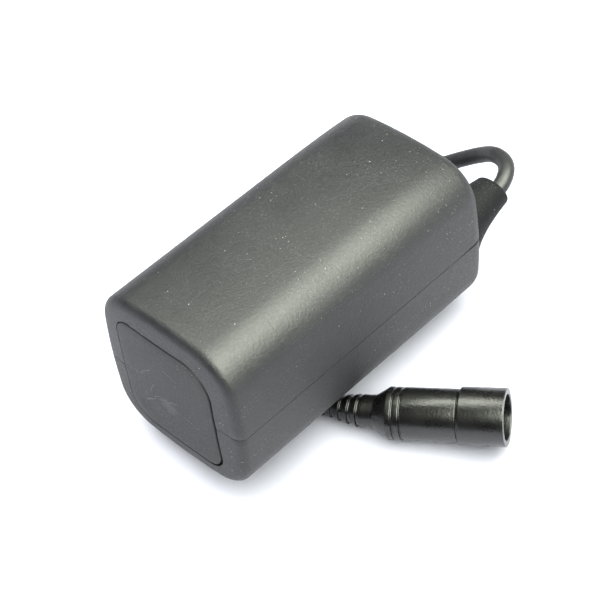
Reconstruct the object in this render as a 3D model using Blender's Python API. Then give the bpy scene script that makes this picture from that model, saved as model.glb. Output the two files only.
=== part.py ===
"""Rechargeable battery pack: four 18650 cells, two in series by two in parallel, in a moulded two-part case.

The case lies on its own lead. The lead leaves a tapered boss at the back end, loops over, runs forward
beside the case, passes under it, and ends in a round sleeved power socket that lies beside the case.
Units are metres, +Z is up, +Y runs from the front end to the back end, and the case's bounding box stands
centred on the origin. Pieces of the case are modelled in the case's own frame: x across, y back from the
front end, z up, with the long axis of the case at x = 0, z = 0.
"""

import math

import bmesh
import bpy
import numpy as np
from mathutils import Matrix, Vector

MM = 0.001

# ---- Driving dimensions: the cells set the case ----
CELL_RADIUS = 8.95 * MM
CELL_LENGTH = 65.0 * MM
CELL_WRAP = 0.15 * MM
CELL_SPACING = 18.5 * MM
CASE_WALL = 2.0 * MM
CASE_SIDE = 42.0 * MM
CASE_LENGTH = 80.0 * MM
CASE_CORNER = 10.6 * MM
PARTING_HEIGHT = -1.0 * MM
GAP = 0.3 * MM
SMALL_GAP = 0.2 * MM

# The lead and its plug
LEAD_RADIUS = 2.0 * MM
SLEEVE_RADIUS = 6.75 * MM
BODY_RADIUS = 6.2 * MM
NECK_RADIUS = 3.95 * MM
SOCKET_RADIUS = 5.35 * MM
SLEEVE_LENGTH = 11.0 * MM
PLUG_LENGTH = 50.0 * MM

# ---- How the case lies ----
CASE_ROLL = math.radians(7.0)
CASE_PITCH = math.radians(4.0)
FRONT_END_Y = -45.3 * MM

# ---- End fillets of the case: how far in and how far along each rim is rounded ----
FRONT_RIM = (2.3 * MM, 1.8 * MM)
BACK_RIM = (1.1 * MM, 1.9 * MM)
CORNER_STEPS = 6
RIM_STEPS = 3

# ---- Places along the case, from the front end ----
FRONT_WALL = 3.2 * MM
PANEL_DEPTH = 1.5 * MM
PANEL_PROUD = 0.3 * MM
CELLS_START = 6.4 * MM
STRIP_THICKNESS = 0.2 * MM
BOARD_THICKNESS = 1.2 * MM
CELLS_END = CELLS_START + CELL_LENGTH
BACK_STRIP_START = CELLS_END + 0.5 * MM
BOARD_START = BACK_STRIP_START + STRIP_THICKNESS + 1.0 * MM
BOARD_END = BOARD_START + BOARD_THICKNESS
TAP_HOLE_RADIUS = 1.6 * MM

# ---- Inset end panel ----
PANEL_WIDTH = 29.0 * MM
PANEL_HEIGHT = 31.4 * MM
PANEL_CORNER = 5.5 * MM
PANEL_CENTRE = (-0.7 * MM, -0.8 * MM)

# ---- Cable boss ----
NECK_CENTRE = (13.2 * MM, -0.2 * MM)
BOSS_NECK_RADIUS = 4.4 * MM
BOSS_FLANGE_RADIUS = 5.4 * MM
BOSS_LENGTH = 11.0 * MM
BOSS_ROOT = (14.4 * MM, 0.2 * MM)
BOSS_TIP = (16.6 * MM, 3.7 * MM)
BOSS_TIP_RADIUS = 3.9 * MM
BOSS_ROUNDING = 0.9 * MM
LEAD_LEAVES = Vector((-0.04, 0.955, 0.29)).normalized()

# ---- Plug pose: centre of the mouth, and the direction that the mouth faces ----
PLUG_MOUTH = Vector((52.45, 7.6, 10.27)) * MM
PLUG_HEADING = math.radians(33.4)
PLUG_RISE = math.radians(8.8)
PLUG_STRAIGHT = 26.0 * MM
PLUG_BEND_RADIUS = 80.0 * MM

# ---- Route of the lead over the floor and through the air, in millimetres, from the boss to the plug ----
LEAD_ROUTE = [
    (15.4, 49.8, 27.5), (13.95, 52.3, 27.4), (11.6, 54.2, 26.8), (8.7, 55.2, 25.7), (4.5, 55.8, 22.5),
    (-0.9, 54.4, 18.0), (-5.5, 52.4, 14.1), (-10.0, 49.6, 10.7), (-14.5, 46.0, 7.7), (-19.0, 41.2, 4.8),
    (-22.8, 35.2, 2.8), (-25.3, 28.0, 2.1), (-26.8, 19.0, 2.05), (-27.3, 8.0, 2.05), (-27.5, -3.0, 2.05),
    (-27.4, -13.5, 2.05), (-25.7, -22.5, 2.05), (-20.9, -29.0, 2.05), (-13.9, -30.8, 2.05),
    (-7.1, -27.9, 2.05), (-1.3, -22.8, 2.05), (5.3, -18.1, 2.15),
]
LEAD_STEP = 2.0 * MM


def clear_scene():
    for obj in list(bpy.data.objects):
        bpy.data.objects.remove(obj, do_unlink=True)


def material(name, colour, roughness, metallic=0.0):
    made = bpy.data.materials.get(name)
    if made:
        return made
    made = bpy.data.materials.new(name)
    made.use_nodes = True
    shader = made.node_tree.nodes["Principled BSDF"]
    shader.inputs["Base Color"].default_value = (*colour, 1.0)
    shader.inputs["Roughness"].default_value = roughness
    shader.inputs["Metallic"].default_value = metallic
    return made


def case_plastic():
    return material("case_soft_touch", (0.045, 0.048, 0.047), 0.55)


def panel_plastic():
    return material("panel_plastic", (0.040, 0.042, 0.042), 0.5)


def lead_rubber():
    return material("lead_rubber", (0.018, 0.018, 0.018), 0.4)


def plug_rubber():
    return material("plug_rubber", (0.015, 0.015, 0.016), 0.38)


def carrier_plastic():
    return material("carrier_plastic", (0.012, 0.012, 0.012), 0.6)


def nickel():
    return material("nickel", (0.62, 0.60, 0.56), 0.3, 1.0)


def can_steel():
    return material("can_steel", (0.55, 0.55, 0.56), 0.35, 1.0)


def wrap_film():
    return material("wrap_film", (0.05, 0.22, 0.45), 0.35)


def white_card():
    return material("white_card", (0.75, 0.74, 0.70), 0.8)


def board_laminate():
    return material("board_laminate", (0.02, 0.16, 0.06), 0.4)


def chip_epoxy():
    return material("chip_epoxy", (0.02, 0.02, 0.02), 0.5)


def foam():
    return material("foam", (0.08, 0.08, 0.08), 0.95)


def tape_film():
    return material("tape_film", (0.60, 0.42, 0.10), 0.35)


def red_insulation():
    return material("red_insulation", (0.55, 0.02, 0.02), 0.4)


def black_insulation():
    return material("black_insulation", (0.02, 0.02, 0.02), 0.4)


def white_insulation():
    return material("white_insulation", (0.75, 0.75, 0.72), 0.4)


# ---------------------------------------------------------------- mesh helpers


def add_object(name, bm, finish, parent=None):
    """An object from a bmesh whose faces are made to point outwards."""
    bmesh.ops.recalc_face_normals(bm, faces=bm.faces)
    mesh = bpy.data.meshes.new(name)
    bm.to_mesh(mesh)
    bm.free()
    mesh.shade_smooth()
    mesh.set_sharp_from_angle(angle=math.radians(35))
    if finish:
        mesh.materials.append(finish)
    obj = bpy.data.objects.new(name, mesh)
    bpy.context.scene.collection.objects.link(obj)
    obj.parent = parent
    return obj


def skin(name, rings, finish, parent=None, looped=False):
    """A closed solid through rings of points.

    A ring of one point is a pole, and a looped skin is a tube's wall.
    """
    bm = bmesh.new()
    verts = [[bm.verts.new(point) for point in ring] for ring in rings]
    pairs = list(zip(verts, verts[1:]))
    if looped:
        pairs.append((verts[-1], verts[0]))
    for first, second in pairs:
        count = max(len(first), len(second))
        for i in range(count):
            j = (i + 1) % count
            if len(first) == 1:
                bm.faces.new((first[0], second[i], second[j]))
            elif len(second) == 1:
                bm.faces.new((first[i], first[j], second[0]))
            else:
                bm.faces.new((first[i], first[j], second[j], second[i]))
    if not looped:
        for end in (verts[0], verts[-1]):
            if len(end) > 1:
                bm.faces.new(end)
    return add_object(name, bm, finish, parent)


def straight_axis(x, z):
    """The frame at a distance along the case, centred on (x, z)."""
    def frame(distance):
        return Matrix.Translation((x, distance, z)) @ Matrix.Rotation(math.radians(-90), 4, "X")
    return frame


def turned(name, profile, axis, finish, sides, parent=None, looped=False):
    """A solid of revolution.

    The profile holds (distance along the axis, radius), and axis gives the frame at each distance.
    """
    rings = []
    for distance, radius in profile:
        frame = axis(distance)
        if radius == 0:
            rings.append([frame.translation.copy()])
            continue
        turn = [2 * math.pi * k / sides for k in range(sides)]
        rings.append([frame @ Vector((radius * math.cos(a), radius * math.sin(a), 0)) for a in turn])
    return skin(name, rings, finish, parent, looped)


def rounded_outline(width, height, radius, centre=(0.0, 0.0), steps=CORNER_STEPS):
    """Points (x, z) of a rectangle with round corners, anticlockwise."""
    points = []
    for corner, (sx, sz) in enumerate(((1, 1), (-1, 1), (-1, -1), (1, -1))):
        cx = centre[0] + sx * (width / 2 - radius)
        cz = centre[1] + sz * (height / 2 - radius)
        for k in range(steps + 1):
            a = math.radians(90) * (corner + k / steps)
            points.append((cx + radius * math.cos(a), cz + radius * math.sin(a)))
    return points


def prism(name, outline, start, end, finish, parent):
    """An outline in x and z, carried from start to end along the case."""
    rings = [[Vector((x, y, z)) for x, z in outline] for y in (start, end)]
    return skin(name, rings, finish, parent)


def plate(name, width, height, radius, start, thickness, finish, parent, centre=(0.0, 0.0)):
    outline = rounded_outline(width, height, radius, centre, steps=3)
    return prism(name, outline, start, start + thickness, finish, parent)


def box(name, low, high, finish, parent):
    outline = [(low[0], low[2]), (high[0], low[2]), (high[0], high[2]), (low[0], high[2])]
    return prism(name, outline, low[1], high[1], finish, parent)


def drill(name, centre, radius, start, sides, parent):
    """A cylinder along the case, from a distance behind the front end to well behind the back end."""
    end = CASE_LENGTH + 10 * MM
    profile = [(start, 0), (start, radius), (end, radius), (end, 0)]
    return turned(name, profile, straight_axis(*centre), None, sides, parent)


def cutter(obj):
    obj.hide_render = True
    obj.display_type = "WIRE"
    return obj


def cut(obj, *cutters):
    for tool in cutters:
        modifier = obj.modifiers.new("cut_" + tool.name, "BOOLEAN")
        modifier.operation = "DIFFERENCE"
        modifier.solver = "EXACT"
        modifier.object = tool


def smooth_route(points, step):
    """Points a step apart along a natural cubic spline through the given points."""
    knots = np.array(points, float)
    gaps = np.linalg.norm(np.diff(knots, axis=0), axis=1)
    times = np.concatenate([[0.0], np.cumsum(gaps)])
    count = len(knots)
    system = np.eye(count)
    target = np.zeros((count, 3))
    for i in range(1, count - 1):
        system[i, i - 1:i + 2] = gaps[i - 1], 2 * (gaps[i - 1] + gaps[i]), gaps[i]
        ahead = (knots[i + 1] - knots[i]) / gaps[i]
        behind = (knots[i] - knots[i - 1]) / gaps[i - 1]
        target[i] = 6 * (ahead - behind)
    bends = np.linalg.solve(system, target)
    made = []
    for time in np.linspace(0.0, times[-1], round(times[-1] / step) + 1):
        i = min(int(np.searchsorted(times, time, side="right")) - 1, count - 2)
        before = (times[i + 1] - time) / gaps[i]
        after = (time - times[i]) / gaps[i]
        curve = (before**3 - before) * bends[i] + (after**3 - after) * bends[i + 1]
        made.append(before * knots[i] + after * knots[i + 1] + curve * gaps[i] ** 2 / 6)
    return made


def tube(name, points, radius, finish, parent=None):
    """A round tube along the points, with capped ends."""
    curve = bpy.data.curves.new(name, "CURVE")
    curve.dimensions = "3D"
    curve.bevel_depth = radius
    curve.bevel_resolution = 2
    curve.use_fill_caps = True
    spline = curve.splines.new("POLY")
    spline.points.add(len(points) - 1)
    for spot, point in zip(spline.points, points):
        spot.co = (*point, 1.0)
    curve.materials.append(finish)
    obj = bpy.data.objects.new(name, curve)
    bpy.context.scene.collection.objects.link(obj)
    obj.parent = parent
    return obj


# ---------------------------------------------------------------- the case


def case_stations():
    """(distance from the front end, inset of the section) along the outside of the case."""
    front = rim_stations(FRONT_RIM)
    back = [(CASE_LENGTH - y, inset) for y, inset in rim_stations(BACK_RIM)]
    return front + back[::-1]


def rim_stations(rim):
    inset, reach = rim
    return [(reach * (1 - math.cos(a)), inset * (1 - math.sin(a))) for a in rim_turns()]


def rim_turns():
    return [math.radians(90) * k / RIM_STEPS for k in range(RIM_STEPS + 1)]


def section(inset):
    side = CASE_SIDE - 2 * inset
    return rounded_outline(side, side, CASE_CORNER - inset)


def case_up():
    """The floor's upward direction, in the case's own frame."""
    return case_turn().transposed() @ Vector((0, 0, 1))


def case_turn():
    roll = Matrix.Rotation(-CASE_ROLL, 3, "Y")
    pitch = Matrix.Rotation(-CASE_PITCH, 3, "X")
    return pitch @ roll


def rest_height():
    """Height of the case's long axis, at its front end, when the lowest point touches the floor."""
    up = case_up()
    points = [Vector((x, y, z)) for y, inset in case_stations() for x, z in section(inset)]
    return -min(up.dot(point) for point in points)


def case_frame():
    frame = bpy.data.objects.new("case_frame", None)
    bpy.context.scene.collection.objects.link(frame)
    frame.rotation_mode = "YXZ"
    frame.rotation_euler = (-CASE_PITCH, -CASE_ROLL, 0.0)
    frame.location = (0.0, FRONT_END_Y, rest_height())
    return frame


def outer_block(name, frame):
    rings = [[Vector((x, y, z)) for x, z in section(inset)] for y, inset in case_stations()]
    return skin(name, rings, case_plastic(), frame)


def shells(frame):
    """The two halves of the case, hollow, with the panel's pocket and the boss's hole."""
    inner = CASE_SIDE - 2 * CASE_WALL
    inner_outline = rounded_outline(inner, inner, CASE_CORNER - CASE_WALL)
    cavity = cutter(prism("cavity", inner_outline, FRONT_WALL, CASE_LENGTH - CASE_WALL, None, frame))
    pocket_outline = rounded_outline(
        PANEL_WIDTH + 2 * GAP, PANEL_HEIGHT + 2 * GAP, PANEL_CORNER + GAP, PANEL_CENTRE
    )
    pocket = cutter(prism("panel_pocket", pocket_outline, -MM, PANEL_DEPTH, None, frame))
    neck_hole = cutter(drill("neck_hole", NECK_CENTRE, BOSS_NECK_RADIUS + GAP, BOARD_END, 24, frame))
    far = CASE_SIDE
    edge = PARTING_HEIGHT
    below = cutter(box("below_parting", (-far, -far, -far), (far, 3 * far, edge + GAP / 2), None, frame))
    above = cutter(box("above_parting", (-far, -far, edge - GAP / 2), (far, 3 * far, far), None, frame))
    for name, removed in (("upper_shell", below), ("lower_shell", above)):
        shell = outer_block(name, frame)
        cut(shell, cavity, pocket, neck_hole, removed)


def end_panel(frame):
    outline = rounded_outline(PANEL_WIDTH, PANEL_HEIGHT, PANEL_CORNER, PANEL_CENTRE)
    prism("end_panel", outline, -PANEL_PROUD, PANEL_DEPTH - GAP, panel_plastic(), frame)


def boss_section(distance):
    """Centre and radii (sideways, up, down) of the boss, at a distance behind the case."""
    along = distance / BOSS_LENGTH
    centre = [root + (tip - root) * along for root, tip in zip(BOSS_ROOT, BOSS_TIP)]
    cone = BOSS_TIP_RADIUS + 0.235 * (BOSS_LENGTH - distance)
    skirt = BOSS_TIP_RADIUS + 12 * MM * math.exp(-distance / (2.6 * MM))
    return centre, cone, cone, max(cone, skirt)


def boss_ring(y, centre, side, up, down, lean=0.0, count=24):
    """A ring round the boss. A lean of 1 turns it square to the way that the lead leaves."""
    ring = []
    for k in range(count):
        a = 2 * math.pi * k / count
        dx = side * math.cos(a)
        dz = (up if math.sin(a) > 0 else down) * math.sin(a)
        back = lean * (dx * LEAD_LEAVES.x + dz * LEAD_LEAVES.z) / LEAD_LEAVES.y
        ring.append(Vector((centre[0] + dx, y - back, centre[1] + dz)))
    return ring


def cable_boss(frame):
    """The boss: a flange inside the wall, a neck through it, and a tapered snout behind the case."""
    wall = CASE_LENGTH - CASE_WALL
    rings = []
    for y, radius in (
        (wall - GAP - MM, BOSS_FLANGE_RADIUS), (wall - GAP, BOSS_FLANGE_RADIUS),
        (wall - GAP, BOSS_NECK_RADIUS), (CASE_LENGTH + GAP, BOSS_NECK_RADIUS),
    ):
        rings.append(boss_ring(y, NECK_CENTRE, radius, radius, radius))
    for distance in (0.3, 1.0, 2.0, 3.3, 5.0, 7.0, 9.0, 11.0):
        centre, side, up, down = boss_section(distance * MM)
        lean = max(0.0, (distance * MM - 2 * MM) / (BOSS_LENGTH - 2 * MM))
        rings.append(boss_ring(CASE_LENGTH + distance * MM, centre, side, up, down, lean))
    for part, shrink in ((0.67, 0.85), (1.0, 0.6)):
        radius = BOSS_TIP_RADIUS * shrink
        y = CASE_LENGTH + BOSS_LENGTH + part * BOSS_ROUNDING
        rings.append(boss_ring(y, BOSS_TIP, radius, radius, radius, 1.0))
    skin("cable_boss", rings, case_plastic(), frame)


# ---------------------------------------------------------------- inside the case


def cells(frame):
    """Four cells, two with the button at the back (left pair) and two with it at the front (right pair)."""
    half = CELL_SPACING / 2
    number = 0
    for x in (-half, half):
        for z in (half, -half):
            number += 1
            button_at_back = x < 0
            name = "cell_%d" % number
            start, toward = (CELLS_START, 1) if button_at_back else (CELLS_END, -1)
            axis = reversible_axis(x, z, start, toward)
            one_cell(name, axis, frame)


def reversible_axis(x, z, start, toward):
    base = straight_axis(x, z)
    return lambda distance: base(start + toward * distance)


def one_cell(name, axis, frame):
    crimp = CELL_LENGTH - 3.5 * MM
    can_top = CELL_LENGTH - 1.2 * MM
    can = [
        (0, 0), (0, CELL_RADIUS - 0.6 * MM), (0.6 * MM, CELL_RADIUS), (crimp - 0.8 * MM, CELL_RADIUS),
        (crimp, CELL_RADIUS - 0.9 * MM), (crimp + 0.8 * MM, CELL_RADIUS), (can_top, CELL_RADIUS - 0.2 * MM),
        (can_top, 0),
    ]
    turned(name + "_can", can, axis, can_steel(), 20, frame)
    wrap_in = CELL_RADIUS + 0.05 * MM
    wrap_out = wrap_in + CELL_WRAP
    wrap = [(0.3 * MM, wrap_in), (0.3 * MM, wrap_out), (can_top, wrap_out), (can_top, wrap_in)]
    turned(name + "_wrap", wrap, axis, wrap_film(), 20, frame, looped=True)
    low = can_top + SMALL_GAP
    ring = [(low, 3.6 * MM), (low, 7.6 * MM), (low + 0.3 * MM, 7.6 * MM), (low + 0.3 * MM, 3.6 * MM)]
    turned(name + "_insulator_ring", ring, axis, white_card(), 20, frame, looped=True)
    button = [
        (low, 0), (low, 3.2 * MM), (CELL_LENGTH - 0.2 * MM, 2.9 * MM), (CELL_LENGTH, 2.6 * MM), (CELL_LENGTH, 0),
    ]
    turned(name + "_button", button, axis, nickel(), 16, frame)


def strips(frame):
    """Welded nickel strips: one joins the pairs at the front, and two take the pack's ends at the back."""
    half = CELL_SPACING / 2
    arm = 4.0 * MM
    reach = half + arm
    front = CELLS_START - SMALL_GAP - STRIP_THICKNESS
    outline = [
        (-reach, -reach), (-half + arm, -reach), (-half + arm, -arm), (half - arm, -arm), (half - arm, -reach),
        (reach, -reach), (reach, reach), (half - arm, reach), (half - arm, arm), (-half + arm, arm),
        (-half + arm, reach), (-reach, reach),
    ]
    prism("strip_series", outline, front, front + STRIP_THICKNESS, nickel(), frame)
    for name, x in (("strip_positive", -half), ("strip_negative", half)):
        plate(name, 2 * arm, 2 * reach, MM, BACK_STRIP_START, STRIP_THICKNESS, nickel(), frame, (x, 0.0))


def insulators(frame):
    """Card insulators over the strips, and the foam pad that holds the cells from rattling."""
    side = CASE_SIDE - 2 * CASE_WALL - 2 * MM
    plate("insulator_front", side, side, 8 * MM, CELLS_START - 1.0 * MM, 0.4 * MM, white_card(), frame)
    back = plate("insulator_back", side, side, 8 * MM, BOARD_START - 0.7 * MM, 0.4 * MM, white_card(), frame)
    cut(back, cutter(drill("tap_hole", (0.0, 0.0), TAP_HOLE_RADIUS, CELLS_END, 12, frame)))
    plate("foam_pad", 28 * MM, 28 * MM, 3 * MM, FRONT_WALL + GAP, 1.6 * MM, foam(), frame)


def bands(frame):
    """Two turns of fibre tape round the four cells."""
    corner = CELL_RADIUS + CELL_WRAP + 0.2 * MM
    tape = 0.2 * MM
    inner = CELL_SPACING + 2 * corner
    for name, start in (("cell_band_front", 18 * MM), ("cell_band_back", 50 * MM)):
        inside = rounded_outline(inner, inner, corner, steps=9)
        outside = rounded_outline(inner + 2 * tape, inner + 2 * tape, corner + tape, steps=9)
        end = start + 10 * MM
        rings = []
        for outline, y in ((inside, start), (outside, start), (outside, end), (inside, end)):
            rings.append([Vector((x, y, z)) for x, z in outline])
        skin(name, rings, tape_film(), frame, looped=True)


def protection_board(frame):
    """The board that guards the cells, with its two switching transistors and their controller."""
    size = (32 * MM, 14 * MM, MM)
    centre = (-1.5 * MM, 0.0)
    plate("protection_board", *size, BOARD_START, BOARD_THICKNESS, board_laminate(), frame, centre)
    base = BOARD_END + SMALL_GAP
    chips = (
        ("switch_transistor_1", -11.0, 2.6, 5.0, 4.0, 1.5),
        ("switch_transistor_2", -11.0, -2.8, 5.0, 4.0, 1.5),
        ("protection_controller", -3.5, 3.2, 3.0, 2.8, 1.2),
    )
    for name, x, z, width, height, thickness in chips:
        low = ((x - width / 2) * MM, base, (z - height / 2) * MM)
        high = ((x + width / 2) * MM, base + thickness * MM, (z + height / 2) * MM)
        box(name, low, high, chip_epoxy(), frame)


def leads(frame):
    """The inner leads: two from the board to the boss, and the tap from between the cells to the board."""
    radius = 0.65 * MM
    y = (BOARD_END + CASE_LENGTH - CASE_WALL - GAP - MM) / 2 / MM
    for name, side, finish in (
        ("lead_positive", 1, red_insulation()),
        ("lead_negative", -1, black_insulation()),
    ):
        route = [
            (-4.0, y, -1.2 + side * 1.2), (0.0, y, -1.4 + side * 1.8), (4.0, y, -0.6 + side * 2.6),
            (8.0, y, -0.4 + side * 2.4), (12.0, y, -0.2 + side * 1.5), (14.5, y, -0.2 + side * 1.4),
        ]
        points = [Vector(point) * MM for point in smooth_route(route, 1.5)]
        tube(name, points, radius, finish, frame)
    start = CELLS_START + GAP
    end = BOARD_START - GAP
    points = [Vector((0, start + (end - start) * k / 4, 0)) for k in range(5)]
    tube("lead_midpoint", points, radius, white_insulation(), frame)


# ---------------------------------------------------------------- the plug and the lead


def plug_axis(distance):
    """The frame at a distance behind the mouth. The tail bends gently to its right, seen from above."""
    turn = Matrix.Rotation(PLUG_HEADING, 4, "Z") @ Matrix.Rotation(-PLUG_RISE, 4, "Y")
    straight = min(distance, PLUG_STRAIGHT)
    angle = (distance - straight) / PLUG_BEND_RADIUS
    along = straight + PLUG_BEND_RADIUS * math.sin(angle)
    aside = PLUG_BEND_RADIUS * (1 - math.cos(angle))
    bend = Matrix.Translation((-along, aside, 0)) @ Matrix.Rotation(-angle, 4, "Z")
    return Matrix.Translation(PLUG_MOUTH) @ turn @ bend @ Matrix.Rotation(math.radians(-90), 4, "Y")


def tail_profile():
    """(distance, radius) of the ribbed strain relief, which tapers to just over the lead."""
    pitch = 2.15 * MM
    first = 33.6 * MM
    points = []
    for rib in range(7):
        start = first + rib * pitch
        radius = max(NECK_RADIUS - 0.18 * (start - first), LEAD_RADIUS + 0.6 * MM)
        root = radius - 0.55 * MM
        points += [
            (start, radius), (start + 0.15 * MM, root), (start + 1.0 * MM, root), (start + 1.15 * MM, radius),
        ]
    return points + [(PLUG_LENGTH - 0.4 * MM, LEAD_RADIUS + 0.35 * MM), (PLUG_LENGTH, LEAD_RADIUS + 0.1 * MM)]


def plug():
    """The moulded plug body with its strain relief, the sleeve at its mouth, and the socket's parts inside."""
    body_front = SLEEVE_LENGTH + GAP
    pocket_end = 22.5 * MM
    grooves = []
    for start in (24.3 * MM, 26.1 * MM):
        root = BODY_RADIUS - 0.3 * MM
        grooves += [
            (start, BODY_RADIUS), (start + 0.12 * MM, root), (start + 0.4 * MM, root),
            (start + 0.52 * MM, BODY_RADIUS),
        ]
    body = [
        (pocket_end, 0), (pocket_end, SOCKET_RADIUS), (body_front, SOCKET_RADIUS), (body_front, BODY_RADIUS),
    ]
    body += grooves
    body += [(27.4 * MM, BODY_RADIUS), (31.0 * MM, NECK_RADIUS + 0.05 * MM), (32.5 * MM, NECK_RADIUS)]
    body += tail_profile() + [(PLUG_LENGTH, 0)]
    turned("plug_body", body, plug_axis, plug_rubber(), 20)

    rim = 0.5 * MM
    sleeve = [
        (0, SOCKET_RADIUS + rim), (0, SLEEVE_RADIUS - rim), (rim, SLEEVE_RADIUS),
        (SLEEVE_LENGTH - 0.7 * MM, SLEEVE_RADIUS), (SLEEVE_LENGTH, BODY_RADIUS),
        (SLEEVE_LENGTH, SOCKET_RADIUS), (rim, SOCKET_RADIUS),
    ]
    turned("plug_sleeve", sleeve, plug_axis, plug_rubber(), 24, looped=True)

    carrier_radius = SOCKET_RADIUS - GAP
    carrier_front = 8.0 * MM
    carrier_back = pocket_end - GAP
    bore = 3.4 * MM
    floor = 19.0 * MM
    carrier = [
        (floor, 0), (floor, bore), (carrier_front, bore), (carrier_front, carrier_radius),
        (carrier_back, carrier_radius), (carrier_back, 0),
    ]
    turned("socket_carrier", carrier, plug_axis, carrier_plastic(), 20)
    outer = bore - SMALL_GAP
    inner = outer - 0.35 * MM
    contact = [(8.6 * MM, inner), (8.6 * MM, outer), (floor - GAP, outer), (floor - GAP, inner)]
    turned("socket_barrel_contact", contact, plug_axis, nickel(), 20, looped=True)
    pin = [
        (9.5 * MM, 0), (9.6 * MM, 0.7 * MM), (10.0 * MM, 1.05 * MM), (floor - GAP, 1.05 * MM), (floor - GAP, 0),
    ]
    turned("socket_centre_pin", pin, plug_axis, nickel(), 12)


def lead():
    """The outer lead, from the boss's tip to the plug's tail."""
    case = Matrix.Translation((0.0, FRONT_END_Y, rest_height())) @ case_turn().to_4x4()
    tip = Vector((BOSS_TIP[0], CASE_LENGTH + BOSS_LENGTH + BOSS_ROUNDING, BOSS_TIP[1]))
    starts = [case @ (tip + gap * LEAD_LEAVES) / MM for gap in (GAP, GAP + 0.8 * MM)]
    tail = plug_axis(PLUG_LENGTH + GAP).translation / MM
    points = smooth_route([*starts, *LEAD_ROUTE, tail], LEAD_STEP / MM)
    tube("lead", [Vector(point) * MM for point in points], LEAD_RADIUS, lead_rubber())


def main():
    clear_scene()
    frame = case_frame()
    shells(frame)
    end_panel(frame)
    cable_boss(frame)
    cells(frame)
    strips(frame)
    insulators(frame)
    bands(frame)
    protection_board(frame)
    leads(frame)
    plug()
    lead()


main()
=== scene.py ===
"""Looks of the rechargeable battery pack: a soft-touch case lying on its own lead, with a round socket plug.

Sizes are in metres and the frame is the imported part's: +Z is up and +Y runs from the front end of the case
to its back end. Pieces of the case are drawn in the case's own frame, which case_frame() places as the part
has it.
"""

import math

import bmesh
import bpy
import numpy as np
from mathutils import Matrix, Vector


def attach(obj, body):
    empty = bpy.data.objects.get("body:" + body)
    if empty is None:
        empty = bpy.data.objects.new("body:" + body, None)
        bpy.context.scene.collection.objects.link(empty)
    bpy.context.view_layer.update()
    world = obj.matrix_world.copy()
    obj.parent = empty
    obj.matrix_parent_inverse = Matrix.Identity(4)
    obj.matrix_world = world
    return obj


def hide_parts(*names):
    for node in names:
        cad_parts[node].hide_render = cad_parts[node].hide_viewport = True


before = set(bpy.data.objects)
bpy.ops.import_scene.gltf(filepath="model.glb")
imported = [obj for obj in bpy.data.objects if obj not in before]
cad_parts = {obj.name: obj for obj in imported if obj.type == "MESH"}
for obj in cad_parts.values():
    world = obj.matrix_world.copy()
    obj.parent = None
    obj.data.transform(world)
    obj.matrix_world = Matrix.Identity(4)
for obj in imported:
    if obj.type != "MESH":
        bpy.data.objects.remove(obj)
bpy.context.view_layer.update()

MM = 0.001

# ---- The case, as the part has it ----
CASE_SIDE = 42.0 * MM
CASE_LENGTH = 80.0 * MM
CASE_CORNER = 10.6 * MM
CASE_WALL = 2.0 * MM
PARTING_HEIGHT = -1.0 * MM
CASE_ROLL = math.radians(7.0)
CASE_PITCH = math.radians(4.0)
CASE_PLACE = Vector((0.0, -45.3, 27.621)) * MM

# ---- Its finer shape. A rim is (how far it goes in from the side, how long it is along the case). ----
SIDE_BULGE = math.radians(6.0)
FRONT_RIM = (2.6 * MM, 2.2 * MM)
BACK_RIM = (1.2 * MM, 2.6 * MM)
BACK_FACE_INSET = 0.9 * MM
FRONT_CROWN = 0.7 * MM
CROWN_REACH = 19.5 * MM
FRONT_WALL = 3.2 * MM
PARTING_GAP = 0.16 * MM
EDGE_EASE = 0.12 * MM
BACK_DROOP = 1.0 * MM
DROOP_START = 54.0 * MM
TOP_RISE = 0.15 * MM
NOTCH_START = 72.0 * MM
NOTCH_HEIGHT = 4.0 * MM
NOTCH_GAPE = 0.7 * MM

# The skin's bump also falls away to the rear, over this range of y in millimetres.
FALL_RANGE = (44.0, 92.0)
FALL_POWER = 2.6
FALL_DEPTH = 6.4 * MM

# ---- Steps round a half of the case's outline, and along the case ----
SIDE_STEPS, CORNER_STEPS, TOP_STEPS = 5, 14, 12
FRONT_RIM_STEPS, LENGTH_STEPS, BACK_RIM_STEPS = 7, 26, 8

# ---- Inset end panel ----
PANEL_WIDTH = 29.0 * MM
PANEL_HEIGHT = 31.4 * MM
PANEL_CORNERS = {1: (8.0 * MM, 4.5 * MM), -1: (5.0 * MM, 6.5 * MM)}
PANEL_CENTRE = (-0.7 * MM, -0.8 * MM)
PANEL_GAP = 0.36 * MM
PANEL_DEPTH = 1.5 * MM
PANEL_PROUD = 0.12 * MM
PANEL_ROUNDING = 0.28 * MM
PANEL_SHIFT = (-0.22 * MM, 0.08 * MM)

# Hairline scratches, as two ends (x, z) and a width, in millimetres.
PANEL_SCRATCHES = [
    ((-12.1, 0.6), (-9.6, 0.2), 0.14), ((-9.7, 0.2), (-5.4, 5.0), 0.14), ((-7.3, -4.2), (-5.1, 0.2), 0.12),
    ((-4.9, -4.7), (2.6, -1.4), 0.13), ((-10.1, -8.9), (-3.6, -2.8), 0.12), ((3.4, -4.4), (8.8, -6.0), 0.13),
    ((-8.5, -6.0), (-2.0, -9.5), 0.10), ((-1.0, 8.0), (3.5, 6.2), 0.09),
]

# ---- Cable boss, between its root at the case and its tip ----
BOSS_LENGTH = 10.5 * MM
BOSS_ROOT = (14.2 * MM, 0.2 * MM)
BOSS_TIP = (15.9 * MM, 3.7 * MM)
BOSS_TIP_RADIUS = 4.3 * MM
BOSS_ROUNDING = 0.9 * MM
BOSS_TAPER = 0.2
BOSS_SKIRT = 12 * MM
SKIRT_FADES_OVER = 2.6 * MM
BOSS_GAP = 0.05 * MM
LEAN_STARTS_AT = 2 * MM
BOSS_STEPS = 32
LEAD_LEAVES = Vector((-0.04, 0.955, 0.29)).normalized()

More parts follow.
